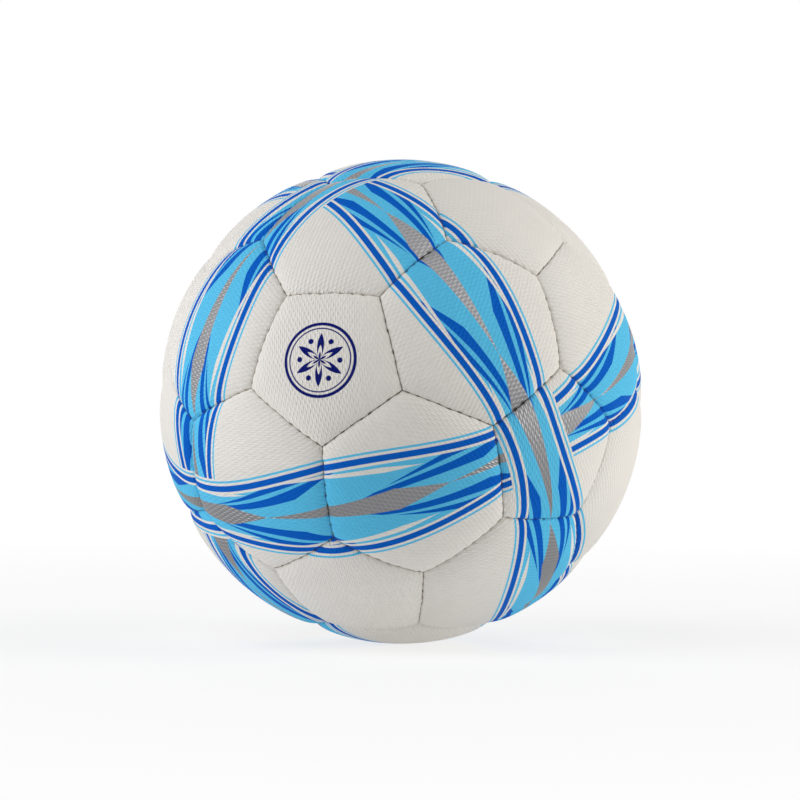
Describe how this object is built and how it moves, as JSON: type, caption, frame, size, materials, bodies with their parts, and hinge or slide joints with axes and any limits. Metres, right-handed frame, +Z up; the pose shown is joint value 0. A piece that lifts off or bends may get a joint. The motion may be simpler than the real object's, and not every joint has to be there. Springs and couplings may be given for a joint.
{
  "type": "football",
  "caption": "Round hand-sewn football of stitched pentagon and hexagon panels over an air bladder, with a rubber valve whose core pulls out.",
  "frame": {"origin": "centre of the ball", "axes": "+Z up, out of the middle of the top hexagon panel; -Y faces the viewer of the picture"},
  "size_m": [0.2196, 0.2194, 0.2195],
  "materials": {
    "cover_laminate": "satin synthetic leather with a fine embossed grain, printed",
    "seam_thread": "waxed polyester thread",
    "bladder_rubber": "matte",
    "valve_rubber": "matte",
    "core_rubber": "satin",
    "washer_cloth": "woven cotton, glued"
  },
  "bodies": {
    "ball": {"pentagon_panel_01": "cover_laminate", "pentagon_panel_02": "cover_laminate", "pentagon_panel_03": "cover_laminate", "pentagon_panel_04": "cover_laminate", "pentagon_panel_05": "cover_laminate", "pentagon_panel_06": "cover_laminate", "pentagon_panel_07": "cover_laminate", "pentagon_panel_08": "cover_laminate", "pentagon_panel_09": "cover_laminate", "pentagon_panel_10": "cover_laminate", "pentagon_panel_11": "cover_laminate", "pentagon_panel_12": "cover_laminate", "hexagon_panel_01": "cover_laminate", "hexagon_panel_02": "cover_laminate", "hexagon_panel_03": "cover_laminate", "hexagon_panel_04": "cover_laminate", "hexagon_panel_05": "cover_laminate", "hexagon_panel_06": "cover_laminate", "hexagon_panel_07": "cover_laminate", "hexagon_panel_08": "cover_laminate", "hexagon_panel_09": "cover_laminate", "hexagon_panel_10": "cover_laminate", "hexagon_panel_11": "cover_laminate", "hexagon_panel_12": "cover_laminate", "hexagon_panel_13": "cover_laminate", "hexagon_panel_14": "cover_laminate", "hexagon_panel_15": "cover_laminate", "hexagon_panel_16": "cover_laminate", "hexagon_panel_17": "cover_laminate", "hexagon_panel_18": "cover_laminate", "hexagon_panel_19": "cover_laminate", "hexagon_panel_20": "cover_laminate", "seam_thread_upper": "seam_thread", "seam_thread_lower": "seam_thread", "seam_thread_closing": "seam_thread", "bladder": "bladder_rubber", "valve_body": "valve_rubber", "valve_washer": "washer_cloth"},
    "valve_plug": {"valve_core": "core_rubber"}
  },
  "joints": [
    {"name": "valve_core_pull", "type": "slide", "parent": "ball", "child": "valve_plug", "axis": [-0.0555, 0.9412, 0.3333], "range_m": [0, 0.02]}
  ]
}
